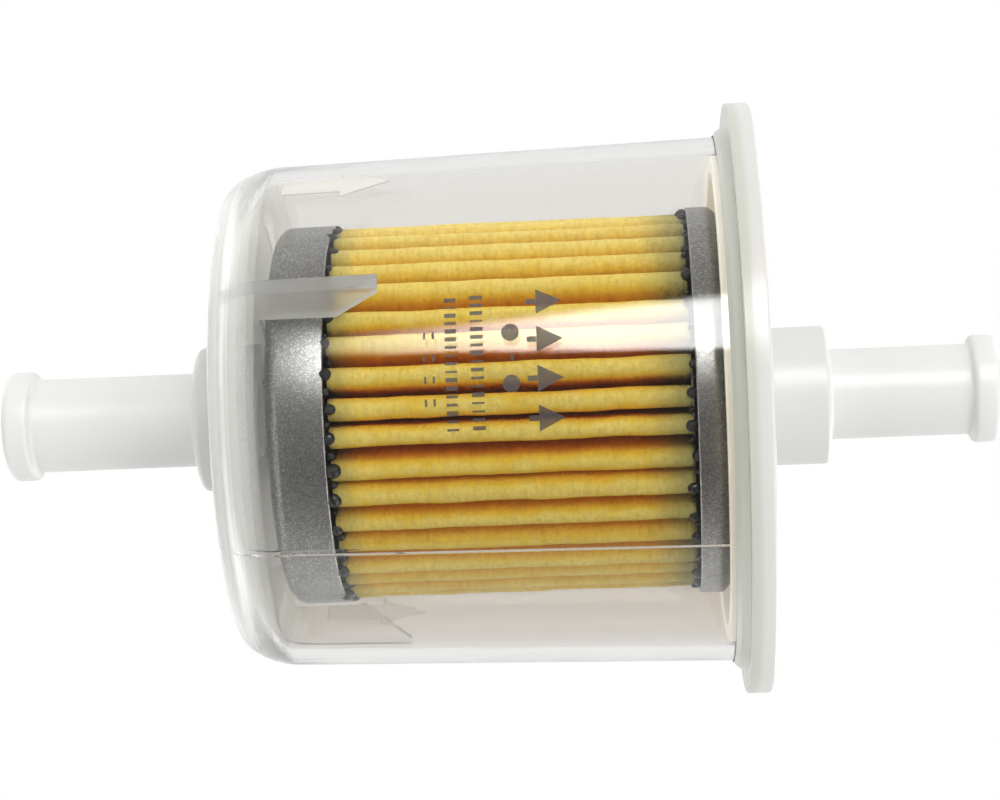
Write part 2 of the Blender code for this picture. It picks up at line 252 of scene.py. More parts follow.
class MaterialGraph(Graph):
    """The node graph of one material, whose patterns read Object coordinates."""

    def __init__(self, name: str) -> None:
        """Make a material without nodes, then read Object coordinates."""
        self.material = bpy.data.materials.new(name)
        self.material.use_nodes = True
        super().__init__(self.material.node_tree)
        self.tree.nodes.clear()
        self.position = self.node("ShaderNodeTexCoord", output="Object")

    def round_axes(self) -> tuple[Value, Value, Value]:
        """Return the station, the angle from the front and the radius of the point."""
        x, y, z = self.axes(self.position)
        angle = z.maths("ARCTAN2", y * -1.0)
        radius = (y * y + z * z) ** 0.5
        return x, angle, radius

    def noise(self, size: float, detail: float, roughness: float = 0.5,
              vector: Value | None = None) -> Value:
        """Return noise from 0 to 1 whose features are about size metres across."""
        inputs = {"Vector": vector or self.position, "Scale": 1.0 / size, "Detail": detail,
                  "Roughness": roughness}
        return self.node("ShaderNodeTexNoise", inputs=inputs, output="Fac")

    def ramp(self, factor: Value, *stops: tuple[float, Colour]) -> Value:
        """Return a colour ramp of a value."""
        return self.node("ShaderNodeValToRGB", {"stops": stops}, {"Fac": factor}, "Color")

    def bump(self, height: Value, distance: float, strength: float) -> Value:
        """Return a normal bent by a height from 0 to 1 that stands for distance metres."""
        inputs = {"Height": height, "Distance": distance, "Strength": strength}
        return self.node("ShaderNodeBump", inputs=inputs)

    def finish(self, inputs: Mapping[str, Any]) -> Material:
        """End the graph with a Principled shader and return the material."""
        surface = self.node("ShaderNodeBsdfPrincipled", inputs=inputs)
        self.add("ShaderNodeOutputMaterial", inputs={"Surface": surface})
        return self.material


class GeometryGraph(Graph):
    """A geometry node tree with named inputs, run on an empty carrier object."""

    def __init__(self, name: str, **inputs: float | int | Material) -> None:
        """Make the tree and one named input for each size."""
        tree = bpy.data.node_groups.new(name, "GeometryNodeTree")
        super().__init__(tree)
        self.values = inputs
        tree.interface.new_socket("Geometry", in_out="OUTPUT", socket_type="NodeSocketGeometry")
        kinds = {int: "NodeSocketInt", float: "NodeSocketFloat"}
        for title, value in inputs.items():
            kind = kinds.get(type(value), "NodeSocketMaterial")
            tree.interface.new_socket(title, in_out="INPUT", socket_type=kind)
        self.group = self.add("NodeGroupInput")

    def __getitem__(self, title: str) -> Value:
        """Return one of the named inputs."""
        return Value(self, self.group.outputs[title])

    def chance(self, low: float, high: float, item: Value, seed: int) -> Value:
        """Return a random number from low to high that depends only on item and seed."""
        inputs = {"Min": low, "Max": high, "ID": item, "Seed": seed}
        return self.node("FunctionNodeRandomValue", {"data_type": "FLOAT"}, inputs)

    def wobble(self, vector: Value, scale: float, detail: float) -> Value:
        """Return smooth noise from about -1 to 1."""
        inputs = {"Vector": vector, "Scale": scale, "Detail": detail}
        return (self.node("ShaderNodeTexNoise", inputs=inputs, output="Fac") - 0.5) * 2.0

    def on_wall(self, x: Value, angle: Value, radius: Value) -> Value:
        """Return the point at a station, an angle from the front and a radius."""
        y = radius * angle.maths("COSINE") * -1.0
        return self.vector(x, y, radius * angle.maths("SINE"))

    def grow(self, name: str, geometry: Value) -> Thing:
        """End the tree, run it and keep the result as a plain mesh.

        Args:
            name: name of the new object.
            geometry: the geometry that the tree ends with.

        Returns:
            The object, linked to the scene and without a modifier.
        """
        real = self.node("GeometryNodeRealizeInstances", inputs={"Geometry": geometry})
        inputs = {"Geometry": real, "Material": self["Material"]}
        dressed = self.node("GeometryNodeSetMaterial", inputs=inputs)
        self.add("NodeGroupOutput", inputs={0: dressed})
        carrier = add_object(name + "_carrier", bpy.data.meshes.new(name + "_carrier"))
        modifier = carrier.modifiers.new("Grow", "NODES")
        modifier.node_group = self.tree
        for item in self.tree.interface.items_tree:
            if item.in_out == "INPUT":
                modifier[item.identifier] = self.values[item.name]
        return take_mesh(carrier, name)


# Mesh making


def add_object(name: str, data: bpy.types.ID) -> Thing:
    """Add an object with some data to the scene."""
    thing = bpy.data.objects.new(name, data)
    bpy.context.scene.collection.objects.link(thing)
    return thing


def take_mesh(carrier: Thing, name: str) -> Thing:
    """Keep an object's evaluated mesh as a new plain object and drop the carrier.

    Args:
        carrier: the object with its modifiers.
        name: name of the new object.

    Returns:
        The new object at the origin.
    """
    bpy.context.view_layer.update()
    evaluated = carrier.evaluated_get(bpy.context.evaluated_depsgraph_get())
    mesh = bpy.data.meshes.new_from_object(evaluated)
    mesh.name = name
    mesh.transform(carrier.matrix_world)
    bpy.data.objects.remove(carrier, do_unlink=True)
    return add_object(name, mesh)


def keep(thing: Thing, slot: Slot, *replaced: str) -> Thing:
    """Ride a finished piece on the body and hide the CAD nodes it stands for."""
    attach(thing, BODY)
    if replaced:
        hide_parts(*replaced)
    return thing


def mesh_object(name: str, made: bmesh.types.BMesh, materials: Sequence[Material],
                sharp: float = 35.0) -> Thing:
    """Turn a bmesh into a smooth-shaded object.

    Args:
        name: name of the object.
        made: the bmesh, freed here.
        materials: its material slots.
        sharp: edges that bend more than this many degrees stay sharp.

    Returns:
        The object, linked to the scene.
    """
    mesh = bpy.data.meshes.new(name)
    made.to_mesh(mesh)
    made.free()
    for material in materials:
        mesh.materials.append(material)
    mesh.shade_smooth()
    mesh.set_sharp_from_angle(angle=radians(sharp))
    return add_object(name, mesh)


def rounded(corners: Sequence[tuple[float, ...]], steps: int = 5) -> Profile:
    """Round the corners of a closed profile.

    Args:
        corners: (x, r) or (x, r, fillet radius) points, in order round the profile.
        steps: straight pieces in each fillet.

    Returns:
        The profile's points.
    """
    points: Profile = []
    count = len(corners)
    for number, corner in enumerate(corners):
        here = Vector(corner[:2])
        fillet = corner[2] if len(corner) > 2 else 0.0
        back = Vector(corners[number - 1][:2]) - here
        ahead = Vector(corners[(number + 1) % count][:2]) - here
        if fillet <= 0.0:
            points.append((here.x, here.y))
            continue
        half = back.angle(ahead) / 2
        reach = min(fillet / tan(half), 0.49 * back.length, 0.49 * ahead.length)
        radius = reach * tan(half)
        centre = here + (back.normalized() + ahead.normalized()).normalized() * (radius / sin(half))
        start = here + back.normalized() * reach - centre
        turn = start.angle_signed(here + ahead.normalized() * reach - centre)
        for step in range(steps + 1):
            spoke = start.copy()
            spoke.rotate(Matrix.Rotation(-turn * step / steps, 2))
            points.append((centre.x + spoke.x, centre.y + spoke.y))
    return points


def even_angles(count: int, extra: Sequence[float] = ()) -> list[float]:
    """Return evenly spaced angles round the axis, with some extra ones between them."""
    angles = {round(TAU * number / count - pi, 6) for number in range(count)}
    return sorted(angles | {round(atan2(sin(angle), cos(angle)), 6) for angle in extra})


def bridge(made: bmesh.types.BMesh, rings: Sequence[Sequence[bmesh.types.BMVert]]) -> None:
    """Join each ring of vertices to the next one; a ring that repeats one vertex is a pole."""
    for ring, following in zip(rings, rings[1:]):
        for number in range(len(ring)):
            after = (number + 1) % len(ring)
            corners = (ring[number], ring[after], following[after], following[number])
            loop = list(dict.fromkeys(corners))
            if len(loop) > 2:
                made.faces.new(loop)


def turned(profile: Profile, angles: Sequence[float],
           relief: Callable[[float, float, float], float] | None = None) -> bmesh.types.BMesh:
    """Turn a closed profile round the X axis.

    Args:
        profile: (x, r) points; those at r = 0 become poles.
        angles: the angles of the mesh's rows.
        relief: extra radius of the point at x, r and an angle.

    Returns:
        The closed mesh, faces outwards.
    """
    made = bmesh.new()
    rings = []
    for x, r in profile:
        if r < 1e-7:
            rings.append([made.verts.new((x, 0.0, 0.0))] * len(angles))
            continue
        ring = []
        for angle in angles:
            out = r + (relief(x, r, angle) if relief else 0.0)
            ring.append(made.verts.new((x, -out * cos(angle), out * sin(angle))))
        rings.append(ring)
    bridge(made, rings + rings[:1])
    bmesh.ops.recalc_face_normals(made, faces=made.faces)
    return made


def plate(name: str, outline: Sequence[Pair], thickness: float,
          place: Matrix, material: Material) -> Thing:
    """Make a flat plate from an outline in its own XY plane.

    Args:
        name: name of the object.
        outline: the outline's points.
        thickness: full thickness, centred on the plane.
        place: where the plate's plane goes.
        material: the plate's material.

    Returns:
        The plate, linked to the scene.
    """
    made = bmesh.new()
    sides = [[made.verts.new((x, y, z)) for x, y in outline] for z in (-thickness / 2, thickness / 2)]
    for side in sides:
        made.faces.new(side)
    bridge(made, sides)
    bmesh.ops.transform(made, matrix=place, verts=made.verts)
    bmesh.ops.recalc_face_normals(made, faces=made.faces)
    return mesh_object(name, made, [material])


# Finishes


@dataclass(frozen=True)
class ClearNylon:
    """Clear moulded nylon: slightly warm glass with a trace of milkiness and flow marks."""

    name: str = "clear_nylon_finish"
    tint: Colour = (0.88, 0.872, 0.853)
    clearness: float = 1.0
    polish: float = 0.01
    ior: float = 1.50

    def build(self) -> Material:
        """Return the material."""
        graph = MaterialGraph(self.name)
        x, angle, _ = graph.round_axes()
        lines = graph.noise(1.0, 2.0, 0.5, graph.vector(x * 40.0, angle * 22.0, 0.0))
        flow = graph.noise(9 * MM, 2.0) * 0.8 + lines * 0.2
        haze = graph.noise(6 * MM, 3.0).span(0.45, 0.75)
        return graph.finish({
            "Base Color": (*self.tint, 1.0),
            "Roughness": haze * 0.02 + self.polish,
            "IOR": self.ior,
            "Transmission Weight": self.clearness,
            "Normal": graph.bump(flow, 0.04 * MM, 0.5),
        })


@dataclass(frozen=True)
class MilkyNylon:
    """Milky translucent nylon with a satin skin, darker and greener on the flange.

    Painted light: an emission glow inside the bores, on the locating ring and on the cover's inner face
    stands for light soaking through the walls, and the ring's cream colour is made lighter against the
    shade inside the shell.
    """

    name: str = "milky_nylon_finish"
    dense: Colour = (0.51, 0.517, 0.495)
    thin: Colour = (0.63, 0.635, 0.61)
    flange: Colour = (0.53, 0.523, 0.50)
    flange_edge: Colour = (0.45, 0.46, 0.405)
    plug: Colour = (0.90, 0.88, 0.80)
    painted_bore_glow: Colour = (0.10, 0.10, 0.094)
    painted_plug_glow: Colour = (0.26, 0.235, 0.19)
    flange_x: float = 20.7 * MM
    spigot_skin: Pair = (4.6 * MM, 6.0 * MM)
    flange_fade: Pair = (12 * MM, 22 * MM)
    ring_skin: Pair = (22.0 * MM, 21.5 * MM)
    floor_fade: Pair = (10 * MM, 14 * MM)
    bore_skin: Pair = (3.5 * MM, 3.2 * MM)

    def build(self) -> Material:
        """Return the material."""
        graph = MaterialGraph(self.name)
        x, angle, radius = graph.round_axes()
        cloud = graph.noise(5 * MM, 2.0, 0.5)
        thick = radius.span(*self.spigot_skin, 0.2, 0.8, smooth=True) + (cloud - 0.5) * 0.2
        body = graph.mix(thick, self.thin, self.dense)
        # Darker and greener on the flange, with a darker band at its inner edge.
        out = radius.span(*self.flange_fade, smooth=True)
        edge = x.span(self.flange_x + 0.5 * MM, self.flange_x + 1.2 * MM, smooth=True)
        tone = graph.mix(out, body, graph.mix(edge, self.flange_edge, self.flange))
        # Painted light on the locating ring and the cover's inner face: a lighter cream colour and a glow
        # against the shade inside the shell.
        inner = x.span(self.flange_x, self.flange_x - 0.3 * MM) * radius.span(*self.ring_skin)
        inner = inner * radius.span(*self.floor_fade)
        # Painted glow inside the bores, though they are no lamp.
        bore = radius.span(*self.bore_skin)
        painted_glow = graph.mix(inner, graph.mix(bore, (0.0, 0.0, 0.0), self.painted_bore_glow), self.painted_plug_glow)
        turned_marks = graph.noise(1.0, 3.0, 0.6, graph.vector(x * 2600.0, angle * 1.5, 0.0))
        return graph.finish({
            "Base Color": graph.mix(inner, tone, self.plug),
            "Roughness": cloud.span(0.0, 1.0, 0.30, 0.40) - out * 0.12,
            "IOR": 1.5,
            "Emission Color": painted_glow,
            "Emission Strength": 1.0,
            "Normal": graph.bump(turned_marks * out, 0.06 * MM, 0.6),
        })


@dataclass(frozen=True)
class PlatedSteel:
    """Dull plated steel sheet with a fine crystalline sparkle."""

    name: str = "plated_steel_finish"
    dark: Colour = (0.29, 0.29, 0.295)
    light: Colour = (0.62, 0.62, 0.62)
    grain: float = 0.10 * MM

    def build(self) -> Material:
        """Return the material."""
        graph = MaterialGraph(self.name)
        inputs = {"Vector": graph.position, "Scale": 1 / self.grain, "Randomness": 1.0}
        cells = graph.node("ShaderNodeTexVoronoi", {"feature": "F1"}, inputs, "Color")
        split = graph.add("ShaderNodeSeparateColor", inputs={0: cells})
        flake = Value(graph, split.outputs[0])
        cloud = graph.noise(1.8 * MM, 3.0, 0.6)
        tone = flake ** 3.0 * 0.75 + cloud * 0.35
        return graph.finish({
            "Base Color": graph.ramp(tone, (0.1, self.dark), (0.95, self.light)),
            "Metallic": 1.0,
            "Roughness": flake.span(0.0, 1.0, 0.42, 0.34),
            "Normal": graph.bump(flake, 0.004 * MM, 0.6),
        })


@dataclass(frozen=True)
class FilterPaper:
    """Resin-treated yellow filter paper, stained grey-green at both caps, with painted shade that turns
    it more orange and brown deeper in its folds, a painted highlight on its crests and painted light from
    above on its upper pleats.
    """

    name: str = "filter_paper_finish"
    # Colours run from the painted highlight on the crests to the painted shade deepest in the folds.
    pale: Colour = (1.0, 0.80, 0.20)
    gold: Colour = (0.98, 0.68, 0.06)
    warm: Colour = (0.97, 0.52, 0.026)
    fold_shade_brown: Colour = (0.98, 0.43, 0.016)
    deep_fold_shade: Colour = (1.0, 0.42, 0.016)
    stain: Colour = (0.28, 0.29, 0.12)
    crest_radius: float = 16.3 * MM
    outlet_stain: Pair = (12.0 * MM, 17.0 * MM)
    inlet_stain: Pair = (-11.0 * MM, -14.0 * MM)
    stain_wander: float = 3 * MM
    lit_angles: Pair = (radians(15), radians(45))

    def build(self) -> Material:
        """Return the material."""
        graph = MaterialGraph(self.name)
        x, angle, radius = graph.round_axes()
        cloud = graph.noise(2.2 * MM, 4.0, 0.6)
        fibre = graph.noise(0.35 * MM, 4.0, 0.7)
        crepe = graph.noise(1.0, 3.0, 0.6, graph.vector(x * 2400.0, angle * 12.0, radius * 300.0))
        depth = ((radius * -1.0 + self.crest_radius) / (1 * MM) + (cloud - 0.5) * 0.9
                 + (crepe - 0.5) * 0.5 + (fibre - 0.5) * 0.4)
        # Painted shade and highlight: the ramp is pale on the crests and orange to brown deeper in the
        # folds, and painted light from above makes the folds of the upper pleats less brown.
        lit = angle.span(*self.lit_angles, 1.0, 0.4, smooth=True)
        body = graph.ramp(depth * lit / 3.0, (0.0, self.pale), (0.08, self.gold),
                          (0.26, self.warm), (0.50, self.fold_shade_brown), (1.0, self.deep_fold_shade))
        place = x + (cloud - 0.5) * self.stain_wander
        edge = place.span(*self.outlet_stain, smooth=True)
        edge = edge.maths("MAXIMUM", place.span(*self.inlet_stain))
        shade = graph.ramp(fibre * 0.5 + crepe * 0.5, (0.34, (0.80, 0.72, 0.45)), (0.60, (1.0, 1.0, 1.0)))
        mottled = graph.mix(1.0, body, shade, "MULTIPLY")
        return graph.finish({
            "Base Color": graph.mix(edge * 0.85, mottled, self.stain),
            "Roughness": 0.8,
            "Normal": graph.bump(fibre * 0.35 + crepe * 0.65, 0.35 * MM, 1.0),
        })


@dataclass(frozen=True)
class BlackMould:
    """Near-black adhesive or rubber whose tone, gloss and relief follow one noise."""

    name: str
    grain: float
    dark: Colour
    light: Colour
    roughness: Pair
    relief: float

    def build(self) -> Material:
        """Return the material."""
        graph = MaterialGraph(self.name)
        cloud = graph.noise(self.grain, 3.0)
        return graph.finish({
            "Base Color": graph.ramp(cloud, (0.3, self.dark), (0.7, self.light)),
            "Roughness": cloud.span(0.3, 0.7, *self.roughness),
            "Normal": graph.bump(cloud, self.relief, 0.5),
        })


@dataclass(frozen=True)
class PrintInk:
    """Thin dark grey pad-printing ink, worn unevenly."""

    name: str = "print_ink_finish"

    def build(self) -> Material:
        """Return the material."""
        graph = MaterialGraph(self.name)
        wear = graph.noise(0.5 * MM, 3.0, 0.6)
        return graph.finish({
            "Base Color": graph.ramp(wear, (0.3, (0.035, 0.03, 0.028)), (0.7, (0.06, 0.05, 0.046))),
            "Roughness": 0.5,
            "Alpha": wear.span(0.3, 0.7, 0.95, 0.78),
        })


@dataclass
class Finishes:
    """Every material of the filter."""

    steps: ClassVar[int] = 7

    clear: Material
    veiled: Material
    faint: Material
    raised: Material
    lightened_arrow_copy: Material
    milky: Material
    steel: Material
    paper: Material
    adhesive: Material
    rubber: Material
    ink: Material
    hazy: list[Material]

    @classmethod
    def mix_all(cls) -> "Finishes":
        """Build every finish once."""
        veiled = ClearNylon("veiled_nylon_finish", (1.0, 1.0, 0.985), 0.60, 0.05)
        # A lighter, clearer copy of the raised arrow finish for the lower arrow: painted light where it
        # is seen through the wall at a grazing angle.
        lightened_arrow_copy = ClearNylon("softened_nylon_finish", (0.90, 0.885, 0.84), 0.74, 0.15)
        faint = ClearNylon("faint_nylon_finish", (0.95, 0.945, 0.93), 0.92, 0.05)
        hazy = [ClearNylon(f"hazy_nylon_finish_{step}", (0.91, 0.908, 0.88), 0.95 - 0.064 * step,
                           0.03 + 0.032 * step) for step in range(1, cls.steps + 1)]
        raised = ClearNylon("raised_nylon_finish", (0.84, 0.825, 0.76), 0.60, 0.30)
        adhesive = BlackMould("black_adhesive_finish", 0.8 * MM, (0.006, 0.007, 0.009),
                              (0.016, 0.018, 0.020), (0.28, 0.42), 0.05 * MM)
        rubber = BlackMould("seal_rubber_finish", 0.2 * MM, (0.02, 0.02, 0.02), (0.04, 0.04, 0.042),
                            (0.55, 0.75), 0.02 * MM)
        single = (ClearNylon(), veiled, faint, raised, lightened_arrow_copy, MilkyNylon(), PlatedSteel(),
                  FilterPaper(), adhesive, rubber, PrintInk())
        return cls(*(finish.build() for finish in single), [finish.build() for finish in hazy])


# Sub-assemblies


@dataclass
class Housing:
    """Clear shell with its end wall, boss, inlet spigot, locating fins and flow arrows."""

    finishes: Finishes
    wall: float = 1.3 * MM
    end_x: float = -22.65 * MM
    end_radius: float = 20.05 * MM
    mouth_radius: float = 23.0 * MM
    draft: float = 0.0247
    shoulder: float = 4.3 * MM
    fullness: float = 1.57
    boss_radius: float = 6.38 * MM
    boss_length: float = 3.85 * MM
    spigot_radius: float = 4.13 * MM
    bead_radius: float = 4.85 * MM
    bead_length: float = 2.5 * MM
    bore_radius: float = 3.1 * MM
    fin_angles: tuple[float, ...] = (radians(30), radians(150), radians(-90))
    fin_thickness: float = 1.3 * MM
    fin_tip_x: float = -8.6 * MM
    fin_inner_tip_x: float = -12.4 * MM
    fin_stop_radius: float = 13.4 * MM
    arrow_angles: tuple[float, ...] = (radians(61), radians(-117))
    arrow_tail: float = -17.3 * MM
    arrow_neck: float = -12.3 * MM
    arrow_tip: float = -7.5 * MM
    arrow_shaft: float = 1.7 * MM
    arrow_head: float = 2.8 * MM
    arrow_rise: float = 0.06 * MM
    arrow_sink: float = 0.20 * MM
    arrow_slope: float = 0.25 * MM
    parting_angles: tuple[float, ...] = (radians(-31), radians(149))
    parting_height: float = 0.07 * MM
    parting_half_width: float = radians(0.35)
    mouth_haze: float = 0.8 * MM
    mouth_step: int = 3
    haze_reach: float = 0.85
    inner_haze: float = 0.4
    rows: int = 192
    inlet_x: float = field(init=False)
    mouth_x: float = field(init=False)
    inner_start: int = field(init=False, default=0)

    def __post_init__(self) -> None:
        """Read the shell's stations from the frame."""
        low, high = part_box("housing")
        self.inlet_x = low.x
        self.mouth_x = high.x

    def radius_at(self, x: float) -> float:
        """Return the drafted wall's outer radius at a station."""
        return self.mouth_radius - self.draft * (self.mouth_x - x)

    def shell_curve(self, inset: float, steps: int) -> Profile:
        """Return the shell's curve from mouth to end wall, moved inwards by inset."""
        shoulder_x = self.end_x + self.shoulder
        rise = self.radius_at(shoulder_x) - self.end_radius
        start = self.end_x + inset
        length = self.shoulder - inset
        points = [(self.mouth_x, self.mouth_radius - inset)]
        for step in range(1, 9):
            x = self.mouth_x + (shoulder_x - self.mouth_x) * step / 9
            points.append((x, self.radius_at(x) - inset))
        power = 2 / self.fullness
        for step in range(steps + 1):
            angle = pi / 2 * (1 - step / steps)
            along = 1 - max(cos(angle), 0.0) ** power
            out = max(sin(angle), 0.0) ** power
            points.append((start + length * along, self.end_radius - inset + rise * out))
        return points

    def profile(self) -> Profile:
        """Return the whole housing's profile, outside first."""
        boss_x = self.end_x - self.boss_length
        bead_x = self.inlet_x + self.bead_length
        crown = self.bead_length / 2
        spigot = rounded([
            (self.end_x, self.boss_radius, 0.5 * MM),
            (boss_x, self.boss_radius, 0.6 * MM),
            (boss_x, self.spigot_radius, 0.5 * MM),
            (bead_x, self.spigot_radius, 0.5 * MM),
            (bead_x - 0.15 * MM, self.bead_radius, crown),
            (self.inlet_x, self.bead_radius, crown),
            (self.inlet_x, self.bore_radius, 0.25 * MM),
            (self.end_x + self.wall, self.bore_radius, 0.3 * MM),
            (self.end_x + self.wall, self.end_radius - self.wall),
            (self.end_x, self.end_radius),
        ], 6)[:-2]
        outer = self.shell_curve(0.0, 16)
        self.inner_start = len(outer) + len(spigot)
        return outer + spigot + list(reversed(self.shell_curve(self.wall, 12)))

    def relief(self, x: float, r: float, angle: float) -> float:
        """Return the height of the parting line at a point of the shell."""
        inner = r < self.radius_at(x) - self.wall / 2 and x > self.end_x + self.shoulder
        if inner or r < self.end_radius or x < self.end_x:
            return 0.0
        apart = min(abs(atan2(sin(angle - line), cos(angle - line))) for line in self.parting_angles)
        return max(0.0, self.parting_height * (1 - apart / self.parting_half_width))

    def zone(self, x: float, r: float, inside: bool) -> int:
        """Return the material number of a face, hazier towards the end wall.

        Args:
            x: the face's station.
            r: its radius.
            inside: the face belongs to the shell's inner surface, which is less hazy.

        Returns:
            0 for clear, then the steps of haze, then the milky end.
        """
        steps = self.finishes.steps
        if x > self.mouth_x - self.mouth_haze:
            return self.mouth_step
        if x < self.end_x - 0.2 * MM or r < self.bore_radius + 0.4 * MM:
            return steps + 1
        along = (self.end_x + self.shoulder - x) / (self.haze_reach * self.shoulder)
        step = min(max(round(along * steps), 0), steps)
        return round(step * self.inner_haze) if inside else step

    def fin_outline(self) -> Profile:
        """Return a locating fin's outline in the plane of station and radius."""
        root = self.wall / 2
        cup_low, cup_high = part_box("inlet_end_cap")
        clear = cup_high.z + 0.3 * MM
        stop_x = cup_low.x - 0.3 * MM
        start = self.end_x + root
        tip_radius = self.radius_at(self.fin_tip_x)
        outline = [(start, self.fin_stop_radius), (stop_x, self.fin_stop_radius), (stop_x, clear),
                   (self.fin_inner_tip_x, clear), (self.fin_tip_x, tip_radius - self.wall - root),
                   (self.fin_tip_x, tip_radius - root)]
        return outline + self.shell_curve(root, 8)[9:]

    def arrow(self, name: str, angle: float) -> Thing:
        """Make one raised flow arrow with sloping sides, wrapped onto the drafted wall.

        Args:
            name: name of the arrow.
            angle: its place round the axis, from the front.

        Returns:
            The arrow as a closed solid sunk into the wall.
        """
        # The lower arrow wears the lighter copy of the arrow finish: painted light.
        material = self.finishes.raised if angle > 0 else self.finishes.lightened_arrow_copy
        slope, blunt = self.arrow_slope, 0.02 * MM
        reach = self.arrow_tip - self.arrow_neck

        def outline(inset: float, head: float, reach: float, end: Pair) -> Profile:
            """Return half the arrow's outline, as stations and half widths."""
            shaft, neck = self.arrow_shaft - inset, self.arrow_neck + inset
            side = [(neck + reach * step / 8, head * (1 - step / 8)) for step in range(1, 8)]
            return [(self.arrow_tail + inset, shaft), (neck, shaft), (neck + blunt, head), *side, end]

        foot = outline(0.0, self.arrow_head, reach, (self.arrow_tip - blunt, blunt))
        reach -= 3.2 * slope
        crown = outline(slope, self.arrow_head - 1.6 * slope, reach,
                        (self.arrow_neck + slope + reach, 0.75 * blunt))
        made = bmesh.new()
        rings = []
        for (low_x, low_half), (high_x, high_half) in zip(foot, crown):
            points = [(low_x, low_half * step / 4, -self.arrow_sink) for step in range(-4, 5)]
            points += [(high_x, high_half * step / 4, self.arrow_rise) for step in range(4, -5, -1)]
            ring = []
            for x, along, height in points:
                turn = angle - along / self.mouth_radius
                out = self.radius_at(x) + height
                ring.append(made.verts.new((x, -out * cos(turn), out * sin(turn))))
            rings.append(ring)
        bridge(made, rings)
        for ring in (rings[0], rings[-1]):
            for one in range(8):
                made.faces.new((ring[one], ring[one + 1], ring[-2 - one], ring[-1 - one]))
        bmesh.ops.recalc_face_normals(made, faces=made.faces)
        return mesh_object(name, made, [material])

    def build(self) -> Thing:
        """Build the housing as one mesh, clear on the shell and milky on the spigot."""
        extra = [line + step * self.parting_half_width for line in self.parting_angles
                 for step in (-1.0, -0.5, 0.0, 0.5, 1.0)]
        angles = even_angles(self.rows, extra)
        made = turned(self.profile(), angles, self.relief)
        for number, face in enumerate(made.faces):
            middle = face.calc_center_median()
            inside = number // len(angles) >= self.inner_start
            face.material_index = self.zone(middle.x, middle.yz.length, inside)
        materials = [self.finishes.clear, *self.finishes.hazy, self.finishes.milky]
        shell = mesh_object("housing_carrier", made, materials)
        joined = []
        for number, angle in enumerate(self.fin_angles, start=1):
            place = Matrix.Rotation(pi - angle, 4, "X")
            material = self.finishes.veiled if angle > 0 else self.finishes.faint
            joined.append(plate(f"fin_{number}", self.fin_outline(), self.fin_thickness, place,
                                material))
        for number, angle in enumerate(self.arrow_angles, start=1):
            joined.append(self.arrow(f"arrow_{number}", angle))
        for piece in joined:
            join = shell.modifiers.new(piece.name, "BOOLEAN")
            join.operation = "UNION"
            join.object = piece
            join.solver = "EXACT"
            join.material_mode = "TRANSFER"
        housing = take_mesh(shell, "clear_housing")
        for piece in joined:
            bpy.data.objects.remove(piece, do_unlink=True)
        housing.data.shade_smooth()
        housing.data.set_sharp_from_angle(angle=radians(17))
        return keep(housing, Slot.CLEAR_NYLON, "housing")


@dataclass
class OutletCover:
    """Milky cover: flange, locating ring, hub, outlet spigot and inner stub."""

    finishes: Finishes
    flange_thickness: float = 2.1 * MM
    plug_x: float = 19.2 * MM
    plug_radius: float = 21.3 * MM
    plug_wall: float = 1.4 * MM
    hub_x: float = 28.8 * MM
    hub_radius: float = 6.05 * MM
    spigot_radius: float = 3.95 * MM
    bead_radius: float = 4.7 * MM
    bead_length: float = 2.3 * MM
    bore_radius: float = 3.1 * MM
    stub_radius: float = 5.0 * MM
    flange_x: float = 20.7 * MM
    rows: int = 192
    stub_x: float = field(init=False)
    outlet_x: float = field(init=False)
    flange_radius: float = field(init=False)

    def __post_init__(self) -> None:
        """Read the cover's ends and its radius from the frame."""
        low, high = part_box("outlet_cover")
        self.stub_x = low.x
        self.outlet_x = high.x
        self.flange_radius = high.z

    def build(self) -> Thing:
        """Build the cover as one turned mesh."""
        face = self.flange_x + self.flange_thickness
        bead_x = self.outlet_x - self.bead_length
        ring = self.plug_radius - self.plug_wall
        profile = rounded([
            (self.outlet_x, self.bore_radius, 0.25 * MM),
            (self.outlet_x, self.bead_radius, 0.7 * MM),
            (bead_x, self.bead_radius, 0.5 * MM),
            (bead_x - 0.25 * MM, self.spigot_radius, 0.3 * MM),
            (self.hub_x, self.spigot_radius, 0.4 * MM),
            (self.hub_x, self.hub_radius, 0.35 * MM),
            (face, self.hub_radius, 0.5 * MM),
            (face, self.flange_radius, 0.3 * MM),
            (self.flange_x, self.flange_radius, 0.15 * MM),
            (self.flange_x, self.plug_radius, 0.2 * MM),
            (self.plug_x, self.plug_radius, 0.25 * MM),
            (self.plug_x, ring, 0.25 * MM),
            (self.flange_x, ring, 0.2 * MM),
            (self.flange_x, self.stub_radius, 0.3 * MM),
            (self.stub_x, self.stub_radius, 0.3 * MM),
            (self.stub_x, self.bore_radius, 0.2 * MM),
        ], 5)
        made = turned(profile, even_angles(self.rows))
        cover = mesh_object("milky_cover", made, [self.finishes.milky])
        return keep(cover, Slot.MILKY_NYLON, "outlet_cover")


@dataclass
class WeldBead:
    """Thin ring of melted material between the shell's mouth and the cover."""

    finishes: Finishes
    rows: int = 192
    relief: float = 0.006 * MM
    sink: float = 0.02 * MM

    def build(self) -> Thing:
        """Build the bead with a slightly uneven outer edge."""
        low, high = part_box("weld_bead")
        inner = Housing(self.finishes).mouth_radius + 0.1 * MM
        profile = rounded([
            (high.x + 0.15 * MM, inner), (high.x + 0.15 * MM, high.z),
            (low.x + 0.35 * MM, high.z - 0.45 * MM, 0.3 * MM), (low.x, inner),
        ], 4)

        def uneven(x: float, r: float, angle: float) -> float:
            """Return how far the outer edge wanders."""
            if r < inner + 0.1 * MM:
                return 0.0
            return (sin(angle * 7 + 1) + sin(angle * 17) + sin(angle * 41)) * self.relief - self.sink

        made = turned(profile, even_angles(self.rows), uneven)
        bead = mesh_object("melted_weld_bead", made, [self.finishes.milky])
        return keep(bead, Slot.MILKY_NYLON, "weld_bead")


